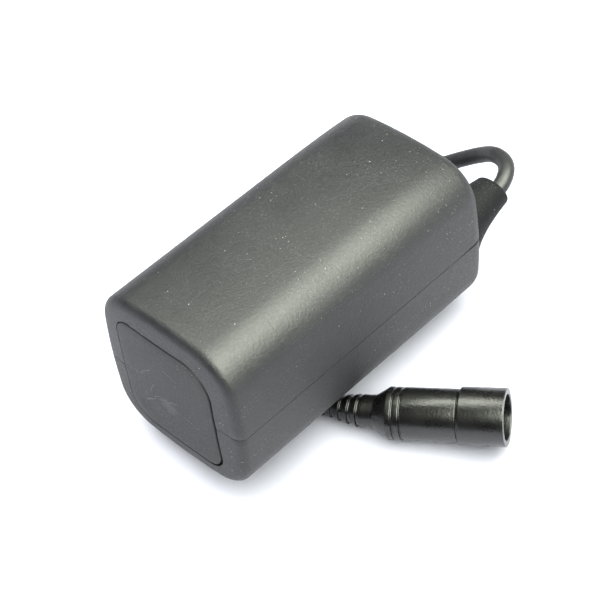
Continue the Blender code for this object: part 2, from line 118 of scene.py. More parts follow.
# ---- Plug. Distances run back from its mouth. ----
PLUG_MOUTH = Vector((52.45, 7.6, 10.27)) * MM
PLUG_HEADING = math.radians(33.4)
PLUG_RISE = math.radians(8.8)
PLUG_STRAIGHT = 26.0 * MM
PLUG_BEND_RADIUS = 80.0 * MM
PLUG_LENGTH = 50.0 * MM
SLEEVE_LENGTH = 11.0 * MM
SLEEVE_RADIUS = 6.75 * MM
BODY_RADIUS = 6.2 * MM
NECK_RADIUS = 3.95 * MM
SOCKET_RADIUS = 5.35 * MM
SOCKET_DEPTH = 22.5 * MM
SLEEVE_GAP = 0.07 * MM
GROOVES = (23.8 * MM, 25.6 * MM)
GROOVE_DEPTH = 0.42 * MM
GROOVE_WIDTH = 0.50 * MM
GROOVE_EDGE = 0.08 * MM
CONE_FRONT, CONE_BACK, NECK_FRONT = 27.3 * MM, 30.6 * MM, 32.5 * MM
RIB_FRONT = 33.9 * MM
RIB_PITCH = 2.15 * MM
RIB_DEPTH = 0.6 * MM
RIB_COUNT = 7
TAIL_TAPER = 0.18
CARRIER_FRONT = 8.0 * MM
CONTACT_BORE = 3.4 * MM
CONTACT_FLOOR = 19.0 * MM
PIN_RADIUS = 1.05 * MM

# ---- Lead: the route's points are part.py's, from the boss to the plug, in millimetres ----
LEAD_DIAMETER = 4.0 * MM
LEAD_START = Vector((16.6, 91.9, 3.7)) * MM
LEAD_STARTS_AT = (-1.9 * MM, 0.3 * MM, 1.1 * MM)
LEAD_GAP = 0.3 * MM
LEAD_ROUTE = [
    (15.4, 49.8, 27.5), (13.95, 52.3, 27.4), (11.6, 54.2, 26.8), (8.7, 55.2, 25.7), (4.5, 55.8, 22.5),
    (-0.9, 54.4, 18.0), (-5.5, 52.4, 14.1), (-10.0, 49.6, 10.7), (-14.5, 46.0, 7.7), (-19.0, 41.2, 4.8),
    (-22.8, 35.2, 2.8), (-25.3, 28.0, 2.1), (-26.8, 19.0, 2.05), (-27.3, 8.0, 2.05), (-27.5, -3.0, 2.05),
    (-27.4, -13.5, 2.05), (-25.7, -22.5, 2.05), (-20.9, -29.0, 2.05), (-13.9, -30.8, 2.05),
    (-7.1, -27.9, 2.05), (-1.3, -22.8, 2.05), (5.3, -18.1, 2.15),
]

# ---- Studio: every light hangs at one height and looks at a point near the floor ----
LIGHT_HEIGHT = 0.8
LIGHTS_LOOK_AT = Vector((0.0, 0.0, 0.02))

# ---- Camera ----
CAMERA_PLACE = Vector((0.194297, -0.178501, 0.376674))
CAMERA_AZIMUTH = math.radians(48.216)
CAMERA_ELEVATION = math.radians(53.774)
CAMERA_ROLL = math.radians(-5.647)
CAMERA_LENS = 114.04


def case_frame():
    """The case's own frame: its middle at the front end, with y along the case."""
    roll = Matrix.Rotation(-CASE_ROLL, 4, "Y")
    pitch = Matrix.Rotation(-CASE_PITCH, 4, "X")
    return Matrix.Translation(CASE_PLACE) @ pitch @ roll


def plug_axis(distance):
    """The frame at a distance behind the mouth. The tail bends gently to its right, seen from above."""
    turn = Matrix.Rotation(PLUG_HEADING, 4, "Z") @ Matrix.Rotation(-PLUG_RISE, 4, "Y")
    straight = min(distance, PLUG_STRAIGHT)
    angle = (distance - straight) / PLUG_BEND_RADIUS
    along = straight + PLUG_BEND_RADIUS * math.sin(angle)
    aside = PLUG_BEND_RADIUS * (1 - math.cos(angle))
    bend = Matrix.Translation((-along, aside, 0)) @ Matrix.Rotation(-angle, 4, "Z")
    return Matrix.Translation(PLUG_MOUTH) @ turn @ bend @ Matrix.Rotation(math.radians(-90), 4, "Y")


# ---------------------------------------------------------------- camera


def make_camera():
    """The camera, placed by where it stands and which way it looks, with a slight roll."""
    data = bpy.data.cameras.new("camera")
    data.lens = CAMERA_LENS
    data.sensor_width = 36.0
    data.clip_start = 0.01
    camera = bpy.data.objects.new("camera", data)
    bpy.context.scene.collection.objects.link(camera)
    a, e = CAMERA_AZIMUTH, CAMERA_ELEVATION
    right = Vector((math.cos(a), math.sin(a), 0))
    back = Vector((math.sin(a) * math.cos(e), -math.cos(a) * math.cos(e), math.sin(e)))
    basis = Matrix((right, back.cross(right), back)).transposed()
    turned_basis = basis @ Matrix.Rotation(CAMERA_ROLL, 3, "Z")
    camera.matrix_world = Matrix.Translation(CAMERA_PLACE) @ turned_basis.to_4x4()
    bpy.context.scene.camera = camera


# ---------------------------------------------------------------- mesh helpers


def add_object(name, bm, place=None, sharp=35):
    """A smooth-shaded object from the mesh, which is used up. Edges over `sharp` degrees stay sharp."""
    bmesh.ops.recalc_face_normals(bm, faces=bm.faces)
    mesh = bpy.data.meshes.new(name)
    bm.to_mesh(mesh)
    bm.free()
    mesh.shade_smooth()
    mesh.set_sharp_from_angle(angle=math.radians(sharp))
    obj = bpy.data.objects.new(name, mesh)
    bpy.context.scene.collection.objects.link(obj)
    if place:
        obj.matrix_world = place
    return obj


def finish_piece(obj, finish, slot, *nodes):
    """Gives a new piece its material and its place in the part."""
    obj.data.materials.append(finish)
    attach(obj, "root")
    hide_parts(*nodes)
    return obj


def skin(name, rings, place=None, looped=False, sharp=35):
    """A closed surface through rings of points.

    A ring of one point is a pole, and a looped skin is the wall of a tube.
    """
    bm = bmesh.new()
    verts = [[bm.verts.new(point) for point in ring] for ring in rings]
    pairs = list(zip(verts, verts[1:]))
    if looped:
        pairs.append((verts[-1], verts[0]))
    for first, second in pairs:
        count = max(len(first), len(second))
        for i in range(count):
            j = (i + 1) % count
            if len(first) == 1:
                bm.faces.new((first[0], second[i], second[j]))
            elif len(second) == 1:
                bm.faces.new((first[i], first[j], second[0]))
            else:
                bm.faces.new((first[i], first[j], second[j], second[i]))
    if not looped:
        for end in (verts[0], verts[-1]):
            if len(end) > 1:
                bm.faces.new(end)
    return add_object(name, bm, place, sharp)


def softened(profile, radius, steps=4):
    """The profile with each corner rounded, by at most the radius and less on a short side."""
    made = [profile[0]]
    for before, corner, after in zip(profile, profile[1:], profile[2:]):
        spot = Vector(corner)
        to_before = Vector(before) - spot
        to_after = Vector(after) - spot
        reach = min(radius, 0.45 * to_before.length, 0.45 * to_after.length)
        start = spot + to_before.normalized() * reach
        end = spot + to_after.normalized() * reach
        for k in range(steps + 1):
            t = k / steps
            made.append(tuple(start * (1 - t) ** 2 + spot * 2 * t * (1 - t) + end * t * t))
    return made + [profile[-1]]


def turned(name, profile, axis, sides=96, looped=False, sharp=35):
    """A solid of revolution. The profile holds (distance, radius), and axis gives the frame at a distance."""
    rings = []
    for distance, radius in profile:
        place = axis(distance)
        if radius < 1e-9:
            rings.append([place.translation.copy()])
            continue
        turn = [2 * math.pi * k / sides for k in range(sides)]
        rings.append([place @ Vector((radius * math.cos(a), radius * math.sin(a), 0)) for a in turn])
    return skin(name, rings, None, looped, sharp)


def smooth_route(points, step):
    """Points a step apart along a natural cubic spline through the given points."""
    knots = np.array(points, float)
    gaps = np.linalg.norm(np.diff(knots, axis=0), axis=1)
    times = np.concatenate([[0.0], np.cumsum(gaps)])
    count = len(knots)
    system = np.eye(count)
    target = np.zeros((count, 3))
    for i in range(1, count - 1):
        system[i, i - 1:i + 2] = gaps[i - 1], 2 * (gaps[i - 1] + gaps[i]), gaps[i]
        ahead = (knots[i + 1] - knots[i]) / gaps[i]
        behind = (knots[i] - knots[i - 1]) / gaps[i - 1]
        target[i] = 6 * (ahead - behind)
    bends = np.linalg.solve(system, target)
    made = []
    for time in np.linspace(0.0, times[-1], round(times[-1] / step) + 1):
        i = min(int(np.searchsorted(times, time, side="right")) - 1, count - 2)
        before = (times[i + 1] - time) / gaps[i]
        after = (time - times[i]) / gaps[i]
        curve = (before**3 - before) * bends[i] + (after**3 - after) * bends[i + 1]
        made.append(before * knots[i] + after * knots[i + 1] + curve * gaps[i] ** 2 / 6)
    return made


# ---------------------------------------------------------------- material helpers


class Finish:
    """A material under construction: short names for the nodes that the finishes share."""

    def __init__(self, name, colour, roughness, metallic=0.0):
        self.material = bpy.data.materials.new(name)
        self.material.use_nodes = True
        self.tree = self.material.node_tree
        self.shader = self.tree.nodes["Principled BSDF"]
        self.shader.inputs["Base Color"].default_value = (*colour, 1.0)
        self.shader.inputs["Roughness"].default_value = roughness
        self.shader.inputs["Metallic"].default_value = metallic
        self.millimetres = self.add(
            "Mapping", {"Vector": self.add("TexCoord").outputs["Object"], "Scale": (1000, 1000, 1000)}
        ).outputs["Vector"]

    def add(self, kind, inputs=None, **settings):
        """A new shader node. An input may be a socket to link or a value to set."""
        node = self.tree.nodes.new("ShaderNode" + kind)
        for key, value in settings.items():
            setattr(node, key, value)
        for key, value in (inputs or {}).items():
            if isinstance(value, bpy.types.NodeSocket):
                self.tree.links.new(value, node.inputs[key])
            else:
                node.inputs[key].default_value = value
        return node

    def noise(self, scale, detail=3.0, roughness=0.5, vector=None):
        """Noise with about `scale` features to the millimetre."""
        made = self.add("TexNoise", {
            "Vector": vector or self.millimetres, "Scale": scale, "Detail": detail, "Roughness": roughness,
        })
        return made.outputs["Fac"]

    def stretched(self, scale, turn=(0.0, 0.0, 0.0)):
        """Coordinates in millimetres, scaled apart along each axis."""
        made = self.add("Mapping", {"Vector": self.millimetres, "Scale": scale, "Rotation": turn})
        return made.outputs["Vector"]

    def ranged(self, value, low, high, to_low, to_high, smooth=True):
        """The value carried from one range to another, and held at its ends."""
        made = self.add("MapRange", {
            "Value": value, "From Min": low, "From Max": high, "To Min": to_low, "To Max": to_high,
        })
        if smooth:
            made.interpolation_type = "SMOOTHSTEP"
        return made.outputs["Result"]

    def combined(self, first, second, operation):
        return self.add("Math", {0: first, 1: second}, operation=operation).outputs["Value"]

    def blended(self, amount, first, second):
        """The first colour where the amount is 0, the second where it is 1. Each is a socket or a triple."""
        made = self.add("Mix", {0: amount}, data_type="RGBA")
        for index, colour in ((6, first), (7, second)):
            if isinstance(colour, bpy.types.NodeSocket):
                self.tree.links.new(colour, made.inputs[index])
            else:
                made.inputs[index].default_value = (*colour, 1.0)
        return made.outputs[2]

    def specks(self, per_mm, size, share, seed):
        """1 on scattered round specks, and 0 elsewhere.

        Space is cut into cells, per_mm to the millimetre, and the given share of them, a number or a socket,
        holds a speck. Its radius is up to the size, in millimetres. The seed moves the pattern.
        """
        moved = self.add("Mapping", {"Vector": self.millimetres, "Location": (seed, seed * 1.7, seed * 0.6)})
        cells = self.add("TexVoronoi", {
            "Vector": moved.outputs["Vector"], "Scale": per_mm, "Randomness": 1.0,
        })
        chosen = self.add("SeparateColor", {"Color": cells.outputs["Color"]})
        kept = self.combined(chosen.outputs["Red"], share, "LESS_THAN")
        largest = size * per_mm
        radius = self.ranged(chosen.outputs["Green"], 0.0, 1.0, 0.35 * largest, largest, smooth=False)
        near = self.combined(cells.outputs["Distance"], radius, "LESS_THAN")
        return self.combined(kept, near, "MULTIPLY")

    def scratch(self, start, end, width):
        """1 along a thin, slightly wandering mark between two points (x, z), in millimetres."""
        run = Vector((end[0] - start[0], 0.0, end[1] - start[1]))
        origin = (start[0], 0.0, start[1])
        moved = self.add("VectorMath", {0: self.millimetres, 1: origin}, operation="SUBTRACT")
        offset = moved.outputs["Vector"]
        across = Vector((-run.z, 0.0, run.x)).normalized()
        along = self.add("VectorMath", {0: offset, 1: run / run.length_squared}, operation="DOT_PRODUCT")
        aside = self.add("VectorMath", {0: offset, 1: across}, operation="DOT_PRODUCT")
        wander = self.ranged(self.noise(0.5, 1.0), 0.3, 0.7, -0.35, 0.35, smooth=False)
        off = self.combined(self.combined(aside.outputs["Value"], wander, "ADD"), 0.0, "ABSOLUTE")
        middle = self.combined(self.combined(along.outputs["Value"], 0.5, "SUBTRACT"), 0.0, "ABSOLUTE")
        beside = self.ranged(off, 0.3 * width, width, 1.0, 0.0)
        within = self.ranged(middle, 0.35, 0.5, 1.0, 0.0)
        return self.combined(beside, within, "MULTIPLY")

    def colour(self, socket):
        self.tree.links.new(socket, self.shader.inputs["Base Color"])

    def roughness(self, socket):
        self.tree.links.new(socket, self.shader.inputs["Roughness"])

    def bump(self, *layers):
        """Layers of (height socket, depth in metres), stacked."""
        normal = None
        for height, depth in layers:
            inputs = {"Height": height, "Strength": 1.0, "Distance": depth}
            if normal:
                inputs["Normal"] = normal
            normal = self.add("Bump", inputs).outputs["Normal"]
        self.tree.links.new(normal, self.shader.inputs["Normal"])


def soft_touch(name, dark, light, roughness):
    """Rubbery black moulding: fine grain, faint mottling, and dust in patches, most of it to the rear."""
    made = Finish(name, dark, roughness)
    grain = made.noise(1.5, 4.0, 0.7)
    mottled = made.blended(made.ranged(made.noise(0.10, 4.0, 0.6), 0.3, 0.7, 0.0, 1.0), dark, light)
    grained = made.blended(made.ranged(grain, 0.35, 0.70, 0.0, 0.8), mottled, tuple(v * 1.5 for v in light))
    place = made.add("SeparateXYZ", {"Vector": made.millimetres}).outputs
    rearward = made.ranged(place["Y"], 30.0, 75.0, 0.0, 0.10)
    gathered = made.combined(made.noise(0.045, 3.0, 0.6), rearward, "ADD")
    patches = made.ranged(gathered, 0.42, 0.68, 0.0, 1.0)
    film = made.combined(patches, 0.35, "MULTIPLY")
    colour = made.blended(film, grained, tuple(v * 1.7 for v in light))

    fine = made.specks(2.4, 0.13, made.ranged(patches, 0.0, 1.0, 0.10, 0.85), 3.0)
    small = made.specks(1.1, 0.18, made.ranged(patches, 0.0, 1.0, 0.02, 0.26), 7.0)
    large = made.specks(0.35, 0.22, 0.10, 11.0)
    for specks, strength, tint in (
        (fine, 0.20, (0.30, 0.30, 0.26)), (small, 0.45, (0.42, 0.41, 0.36)), (large, 0.8, (0.45, 0.45, 0.40)),
    ):
        colour = made.blended(made.combined(specks, strength, "MULTIPLY"), colour, tint)
    made.colour(colour)

    rough = made.ranged(grain, 0.3, 0.7, roughness - 0.06, roughness + 0.06)
    made.roughness(made.combined(rough, made.combined(patches, 0.05, "MULTIPLY"), "ADD"))
    fall = made.combined(made.ranged(place["Y"], *FALL_RANGE, 0.0, 1.0, smooth=False), FALL_POWER, "POWER")
    dust = made.combined(small, large, "MAXIMUM")
    made.bump(
        (fall, -FALL_DEPTH), (made.noise(0.05, 2.0), 0.08 * MM), (grain, 0.11 * MM),
        (made.noise(4.5, 2.0), 0.012 * MM), (dust, 0.05 * MM),
    )
    return made


def case_finish():
    """The two shells."""
    return soft_touch("case_soft_touch", (0.0062, 0.0064, 0.0080), (0.0098, 0.0102, 0.0122), 0.50).material


def boss_finish_with_painted_shade():
    """The boss: the same moulding and much less shiny, with its colour darkened as painted shade."""
    # Both colours are darker than the case's own. This is painted shade for the shade that falls on the boss.
    made = soft_touch("boss_soft_touch_painted_shade", (0.0040, 0.0042, 0.0052), (0.0060, 0.0063, 0.0076), 0.70)
    made.shader.inputs["Specular IOR Level"].default_value = 0.15
    return made.material


def panel_finish():
    """The end plate: the same moulding, duller and scuffed, with a few hairline scratches."""
    made = soft_touch("panel_soft_touch", (0.0075, 0.0078, 0.0088), (0.0120, 0.0124, 0.0138), 0.57)
    base = made.shader.inputs["Base Color"].links[0].from_socket
    centred = made.add("Mapping", {
        "Vector": made.millimetres, "Location": (0.36, 0.0, 0.85), "Scale": (0.15, 0.0, 0.19),
        "Rotation": (0.0, 0.25, 0.0),
    })
    away = made.add("VectorMath", {0: centred.outputs["Vector"]}, operation="LENGTH").outputs["Value"]
    streaks = made.noise(1.0, 4.0, 0.7, made.stretched((0.35, 1.0, 1.6), (0.0, 0.5, 0.0)))
    worn = made.combined(made.ranged(away, 0.1, 1.0, 1.0, 0.0), streaks, "MULTIPLY")
    colour = made.blended(made.ranged(worn, 0.22, 0.62, 0.0, 0.9), base, (0.060, 0.062, 0.066))
    for start, end, width in PANEL_SCRATCHES:
        mark = made.combined(made.scratch(start, end, width), 0.6, "MULTIPLY")
        colour = made.blended(mark, colour, (0.13, 0.135, 0.14))
    made.colour(colour)
    return made.material


def plug_finish():
    """Satin overmoulding with a coarse spark-eroded grain and a little dust."""
    made = Finish("plug_rubber", (0.004, 0.004, 0.004), 0.36)
    grain = made.noise(2.1, 1.0, 0.5)
    patches = made.noise(0.25, 3.0, 0.6)
    mixed = made.ranged(patches, 0.3, 0.7, 0.0, 1.0)
    base = made.blended(mixed, (0.0018, 0.0018, 0.0020), (0.0036, 0.0036, 0.0034))
    pale = made.blended(made.ranged(grain, 0.60, 0.75, 0.0, 0.5), base, (0.012, 0.012, 0.011))
    dust = made.specks(0.6, 0.10, 0.10, 5.0)
    made.colour(made.blended(made.combined(dust, 0.7, "MULTIPLY"), pale, (0.26, 0.26, 0.24)))
    made.roughness(made.ranged(patches, 0.3, 0.7, 0.26, 0.31))
    made.bump((grain, 0.046 * MM), (made.noise(4.5, 2.0), 0.008 * MM))
    made.shader.inputs["Specular IOR Level"].default_value = 0.62
    return made.material


def lead_finish():
    """Smooth extruded sheath, with faint mottling, a little dust and a fine even grain."""
    made = Finish("lead_sheath", (0.010, 0.010, 0.011), 0.5)
    mottling = made.ranged(made.noise(0.5, 4.0, 0.6), 0.3, 0.7, 0.0, 1.0)
    base = made.blended(mottling, (0.008, 0.008, 0.009), (0.015, 0.015, 0.016))
    dust = made.specks(0.6, 0.07, 0.16, 7.0)
    made.colour(made.blended(dust, base, (0.22, 0.22, 0.21)))
    made.roughness(made.ranged(made.noise(2.0, 3.0), 0.3, 0.7, 0.44, 0.58))
    made.bump((made.noise(1.2, 3.0), 0.015 * MM))
    return made.material


def moulded(name, colour, roughness):
    """Plain moulded plastic or rubber of an inner piece, with grain and slight mottling."""
    made = Finish(name, colour, roughness)
    lighter = tuple(min(1.0, value * 1.25 + 0.004) for value in colour)
    made.colour(made.blended(made.ranged(made.noise(0.3, 4.0, 0.6), 0.3, 0.7, 0.0, 1.0), colour, lighter))
    made.roughness(made.ranged(made.noise(2.5, 2.0), 0.3, 0.7, roughness - 0.05, roughness + 0.07))
    made.bump((made.noise(3.0, 2.0), 0.01 * MM))
    return made.material


def metal(name, colour, roughness):
    """Plated metal with fine drawing lines."""
    made = Finish(name, colour, roughness, 1.0)
    darker = tuple(value * 0.82 for value in colour)
    lines = made.noise(1.0, 3.0, 0.6, made.stretched((9.0, 0.4, 9.0)))
    made.colour(made.blended(made.ranged(made.noise(0.4, 3.0), 0.3, 0.7, 0.0, 1.0), colour, darker))
    made.roughness(made.ranged(lines, 0.3, 0.7, roughness - 0.08, roughness + 0.12))
    made.bump((lines, 0.004 * MM))
    return made.material


def board_finish():
    """Solder mask with traces under it and tinned pads."""
    made = Finish("board_mask", (0.02, 0.16, 0.06), 0.35)
    traces = made.add("TexBrick", {"Vector": made.millimetres, "Scale": 0.35, "Mortar Size": 0.03})
    green = made.blended(traces.outputs["Fac"], (0.015, 0.13, 0.05), (0.03, 0.24, 0.09))
    made.colour(made.blended(made.specks(0.5, 0.35, 0.3, 2.0), green, (0.55, 0.55, 0.52)))
    made.roughness(made.ranged(made.noise(1.5, 2.0), 0.3, 0.7, 0.28, 0.42))
    made.bump((traces.outputs["Fac"], 0.02 * MM))
    return made.material


def foam_finish():
    """Closed-cell foam."""
    made = Finish("foam", (0.08, 0.08, 0.08), 0.95)
    cells = made.add("TexVoronoi", {"Vector": made.millimetres, "Scale": 2.2}).outputs["Distance"]
    made.colour(made.blended(made.ranged(cells, 0.0, 0.6, 0.0, 1.0), (0.05, 0.05, 0.05), (0.11, 0.11, 0.11)))
    made.bump((cells, 0.15 * MM))
    return made.material


def tape_finish():
    """Adhesive tape with crossing reinforcement fibres."""
    made = Finish("tape", (0.60, 0.42, 0.10), 0.35)
    fibres = made.add("TexWave", {"Vector": made.millimetres, "Scale": 1.1, "Distortion": 0.6}).outputs["Fac"]
    shown = made.ranged(fibres, 0.35, 0.9, 0.0, 0.6)
    made.colour(made.blended(shown, (0.62, 0.44, 0.11), (0.75, 0.60, 0.25)))
    made.bump((fibres, 0.03 * MM))
    return made.material


# ---------------------------------------------------------------- the lead


def make_lead(finish):
    """The lead as one open curve, and the point where it leaves the boss."""
    starts = [case_frame() @ (LEAD_START + gap * LEAD_LEAVES) / MM for gap in LEAD_STARTS_AT]
    tail = plug_axis(PLUG_LENGTH + LEAD_GAP).translation / MM
    points = smooth_route([*starts, *LEAD_ROUTE, tail], 0.8)
    curve = bpy.data.curves.new("lead_sheath", "CURVE")
    curve.dimensions = "3D"
    curve.bevel_depth = LEAD_DIAMETER / 2
    curve.bevel_resolution = 8
    curve.use_fill_caps = True
    spline = curve.splines.new("POLY")
    spline.points.add(len(points) - 1)
    for spot, point in zip(spline.points, points):
        spot.co = (*(Vector(point) * MM), 1.0)
    lead = bpy.data.objects.new("lead_sheath", curve)
    bpy.context.scene.collection.objects.link(lead)
    finish_piece(lead, finish, "lead_rubber", "lead")
    return lead, starts[1] * MM


# ---------------------------------------------------------------- the case


def rim_turns(steps):
    """Angles of a quarter turn, both ends included."""
    return [math.radians(90) * k / steps for k in range(steps + 1)]


def side_points(first, last, count):
    """Even steps from the first value up to, but not including, the last."""
    return [first + (last - first) * k / count for k in range(count)]


def section_half(inset, upward):
    """Half of the case's section, from the right parting point over the top or bottom to the left, as (x, z).

    Each side is a very flat arc, which turns by SIDE_BULGE at its ends and runs smoothly into the corners.
    """
    corner = CASE_CORNER - inset
    centre = CASE_SIDE / 2 - CASE_CORNER
    flat = (centre + corner * math.sin(SIDE_BULGE)) / math.sin(SIDE_BULGE)
    shift = centre + corner * math.cos(SIDE_BULGE) - flat * math.cos(SIDE_BULGE)
    quarter = math.radians(90)
    start = math.asin((PARTING_HEIGHT * upward + PARTING_GAP / 2) / flat)
    points = []
    for a in side_points(start, SIDE_BULGE, SIDE_STEPS):
        points.append((shift + flat * math.cos(a), flat * math.sin(a)))
    for a in side_points(SIDE_BULGE, quarter - SIDE_BULGE, CORNER_STEPS):
        points.append((centre + corner * math.cos(a), centre + corner * math.sin(a)))
    for a in side_points(quarter - SIDE_BULGE, quarter, TOP_STEPS // 2):
        points.append((flat * math.cos(a), shift + flat * math.sin(a)))
    points.append((0.0, shift + flat))
    mirrored = [(-x, z) for x, z in reversed(points[:-1])]
    return [(x, z * upward) for x, z in points + mirrored]


def plate_half(width, height, corners, centre, upward):
    """Half of a rectangle with round corners (right and left radius), split at the parting height.

    It has as many points as half of the section.
    """
    cx, cz = centre
    cz *= upward
    right, left = corners
    edge_x = width / 2
    edge_z = cz + height / 2
    start = PARTING_HEIGHT * upward + PARTING_GAP / 2
    quarter = math.radians(90)
    points = [(cx + edge_x, z) for z in side_points(start, edge_z - right, SIDE_STEPS)]
    for a in side_points(0.0, quarter, CORNER_STEPS):
        points.append((cx + edge_x - right * (1 - math.cos(a)), edge_z - right * (1 - math.sin(a))))
    points += [(x, edge_z) for x in side_points(cx + edge_x - right, cx - edge_x + left, TOP_STEPS)]
    for a in side_points(quarter, 2 * quarter, CORNER_STEPS):
        points.append((cx - edge_x + left * (1 + math.cos(a)), edge_z - left * (1 - math.sin(a))))
    points += [(cx - edge_x, z) for z in side_points(edge_z - left, start, SIDE_STEPS)]
    points.append((cx - edge_x, start))
    return [(x, z * upward) for x, z in points]


def panel_corners(upward, grown):
    """The plate's right and left corner radii in the upper (1) or lower (-1) half, for a grown outline."""
    return [corner + grown for corner in PANEL_CORNERS[upward]]


def crown(x, z):
    """How far the front end stands proud at (x, z)."""
    across = max(0.0, 1 - (x / CROWN_REACH) ** 2)
    upright = max(0.0, 1 - (z / CROWN_REACH) ** 2)
    return FRONT_CROWN * across * upright


def droop(y):
    """How far the top falls away towards the back end."""
    t = max(0.0, (y - DROOP_START) / (CASE_LENGTH - DROOP_START))
    return BACK_DROOP * t**3 - TOP_RISE


def opening(x, y, z):
    """How far the upper half's joint edge lifts where the joint gapes, at the back of the right side."""
    if x < 0 or z > NOTCH_HEIGHT:
        return 0.0
    along = max(0.0, (y - NOTCH_START) / (CASE_LENGTH - NOTCH_START))
    return NOTCH_GAPE * min(1.0, along) * (1 - max(0.0, z) / NOTCH_HEIGHT)


def rim_stations(rim, steps):
    """(distance from the end, inset) of each ring round an elliptical rim, from the end face inwards."""
    inset, length = rim
    return [(length * (1 - math.cos(a)), inset * (1 - math.sin(a))) for a in rim_turns(steps)]


def outer_rings(upward):
    """The outer skin of a half: out of the panel's pocket, over the front rim and along to the back face."""
    grown = 2 * PANEL_GAP
    corners = panel_corners(upward, PANEL_GAP)
    pocket = plate_half(PANEL_WIDTH + grown, PANEL_HEIGHT + grown, corners, PANEL_CENTRE, upward)
    rim = section_half(FRONT_RIM[0], upward)
    rings = [[Vector((x, PANEL_DEPTH, z)) for x, z in pocket]]
    for t in (0.0, 0.12, 0.4, 0.7):
        ring = []
        for (px, pz), (rx, rz) in zip(pocket, rim):
            x, z = px + (rx - px) * t, pz + (rz - pz) * t
            ring.append(Vector((x, -crown(x, z), z)))
        rings.append(ring)
    stations = rim_stations(FRONT_RIM, FRONT_RIM_STEPS)
    length = CASE_LENGTH - FRONT_RIM[1] - BACK_RIM[1]
    stations += [(FRONT_RIM[1] + length * k / LENGTH_STEPS, 0.0) for k in range(1, LENGTH_STEPS)]
    back = [(CASE_LENGTH - distance, inset) for distance, inset in rim_stations(BACK_RIM, BACK_RIM_STEPS)]
    stations += reversed(back)
    stations.append((CASE_LENGTH, BACK_RIM[0] + BACK_FACE_INSET))
    for y, inset in stations:
        lowered = droop(y)
        ring = []
        for x, z in section_half(inset, upward):
            share = max(0.0, z / (CASE_SIDE / 2)) if upward > 0 else 0.0
            lifted = opening(x, y, z) if upward > 0 else 0.0
            ring.append(Vector((x, y, z - lowered * share + lifted)))
        rings.append(ring)
    return rings


def make_shell(name, upward, finish, node):
    """One half of the case: outer skin, inner skin and the flat joint face between them, with eased edges."""
    bm = bmesh.new()
    outer = [[bm.verts.new(p) for p in ring] for ring in outer_rings(upward)]
    inside = CASE_SIDE - 2 * CASE_WALL
    cavity = plate_half(inside, inside, (CASE_CORNER - CASE_WALL,) * 2, (0.0, 0.0), upward)
    inner = []
    for y in (FRONT_WALL, CASE_LENGTH - CASE_WALL):
        inner.append([bm.verts.new((x, y, z)) for x, z in cavity])
    for rings in (outer, inner):
        for first, second in zip(rings, rings[1:]):
            for k in range(len(first) - 1):
                bm.faces.new((first[k], first[k + 1], second[k + 1], second[k]))
        bm.faces.new(rings[0])
        bm.faces.new(rings[-1])
    for end in (0, -1):
        edge = [ring[end] for ring in outer]
        bm.faces.new(edge + [inner[1][end], inner[0][end]])
    bm.faces.new((outer[0][0], inner[0][0], inner[0][-1], outer[0][-1]))
    bm.faces.new((outer[-1][0], inner[-1][0], inner[-1][-1], outer[-1][-1]))
    joint_edges = []
    for end in (0, -1):
        joint_edges += [bm.edges.get((a[end], b[end])) for a, b in zip(outer[1:], outer[2:])]
    lip_edges = [bm.edges.get(pair) for pair in zip(outer[1], outer[1][1:])]
    sharp_edges = joint_edges + lip_edges
    bmesh.ops.bevel(bm, geom=sharp_edges, offset=EDGE_EASE, segments=2, profile=0.5, affect="EDGES")
    shell = add_object(name, bm, case_frame(), 40)
    return finish_piece(shell, finish, "case_soft_touch", node)


def make_panel(finish):
    """The inset plate, with eased edges. It follows the end face's crown and stands a little proud of it."""
    shifted = [centre + shift for centre, shift in zip(PANEL_CENTRE, PANEL_SHIFT)]

    def outline(shrink):
        width = PANEL_WIDTH - 2 * shrink
        height = PANEL_HEIGHT - 2 * shrink
        upper, lower = [
            plate_half(width, height, panel_corners(upward, -shrink), shifted, upward) for upward in (1, -1)
        ]
        return upper + lower[::-1]

    edge = outline(0.0)
    rings = [[Vector((x, PANEL_DEPTH - 0.2 * MM, z)) for x, z in edge]]
    for a in rim_turns(4):
        back = PANEL_ROUNDING * (1 - math.sin(a)) - PANEL_PROUD
        outer = outline(PANEL_ROUNDING * (1 - math.cos(a)))
        rings.append([Vector((x, back - crown(x, z), z)) for x, z in outer])
    for t in (0.85, 0.68, 0.5, 0.32, 0.15):
        ring = []
        for x, z in outline(PANEL_ROUNDING):
            x = shifted[0] + (x - shifted[0]) * t
            z = shifted[1] + (z - shifted[1]) * t
            ring.append(Vector((x, -crown(x, z) - PANEL_PROUD, z)))
        rings.append(ring)
    rings.append([Vector((shifted[0], -crown(*shifted) - PANEL_PROUD, shifted[1]))])
    panel = skin("end_plate", rings, case_frame())
    return finish_piece(panel, finish, "panel_plastic", "end_panel")


# ---------------------------------------------------------------- the cable boss


def boss_section(distance):
    """Centre and radii (sideways, up, down) at a distance behind the case. The root flares downwards."""
    along = distance / BOSS_LENGTH
    centre = [root + (tip - root) * along for root, tip in zip(BOSS_ROOT, BOSS_TIP)]
    cone = BOSS_TIP_RADIUS + BOSS_TAPER * (BOSS_LENGTH - distance)
    skirt = BOSS_TIP_RADIUS + BOSS_SKIRT * math.exp(-distance / SKIRT_FADES_OVER)
    return centre, cone, cone, max(cone, skirt)


def boss_ring(y, centre, side, up, down, lean, count=72):
    """A ring that leans from upright (0) to square on to the lead (1)."""
    ring = []
    for k in range(count):
        a = 2 * math.pi * k / count
        dx = side * math.cos(a)
        dz = (up if math.sin(a) > 0 else down) * math.sin(a)
        back = lean * (dx * LEAD_LEAVES.x + dz * LEAD_LEAVES.z) / LEAD_LEAVES.y
        ring.append(Vector((centre[0] + dx, y - back, centre[1] + dz)))
    return ring


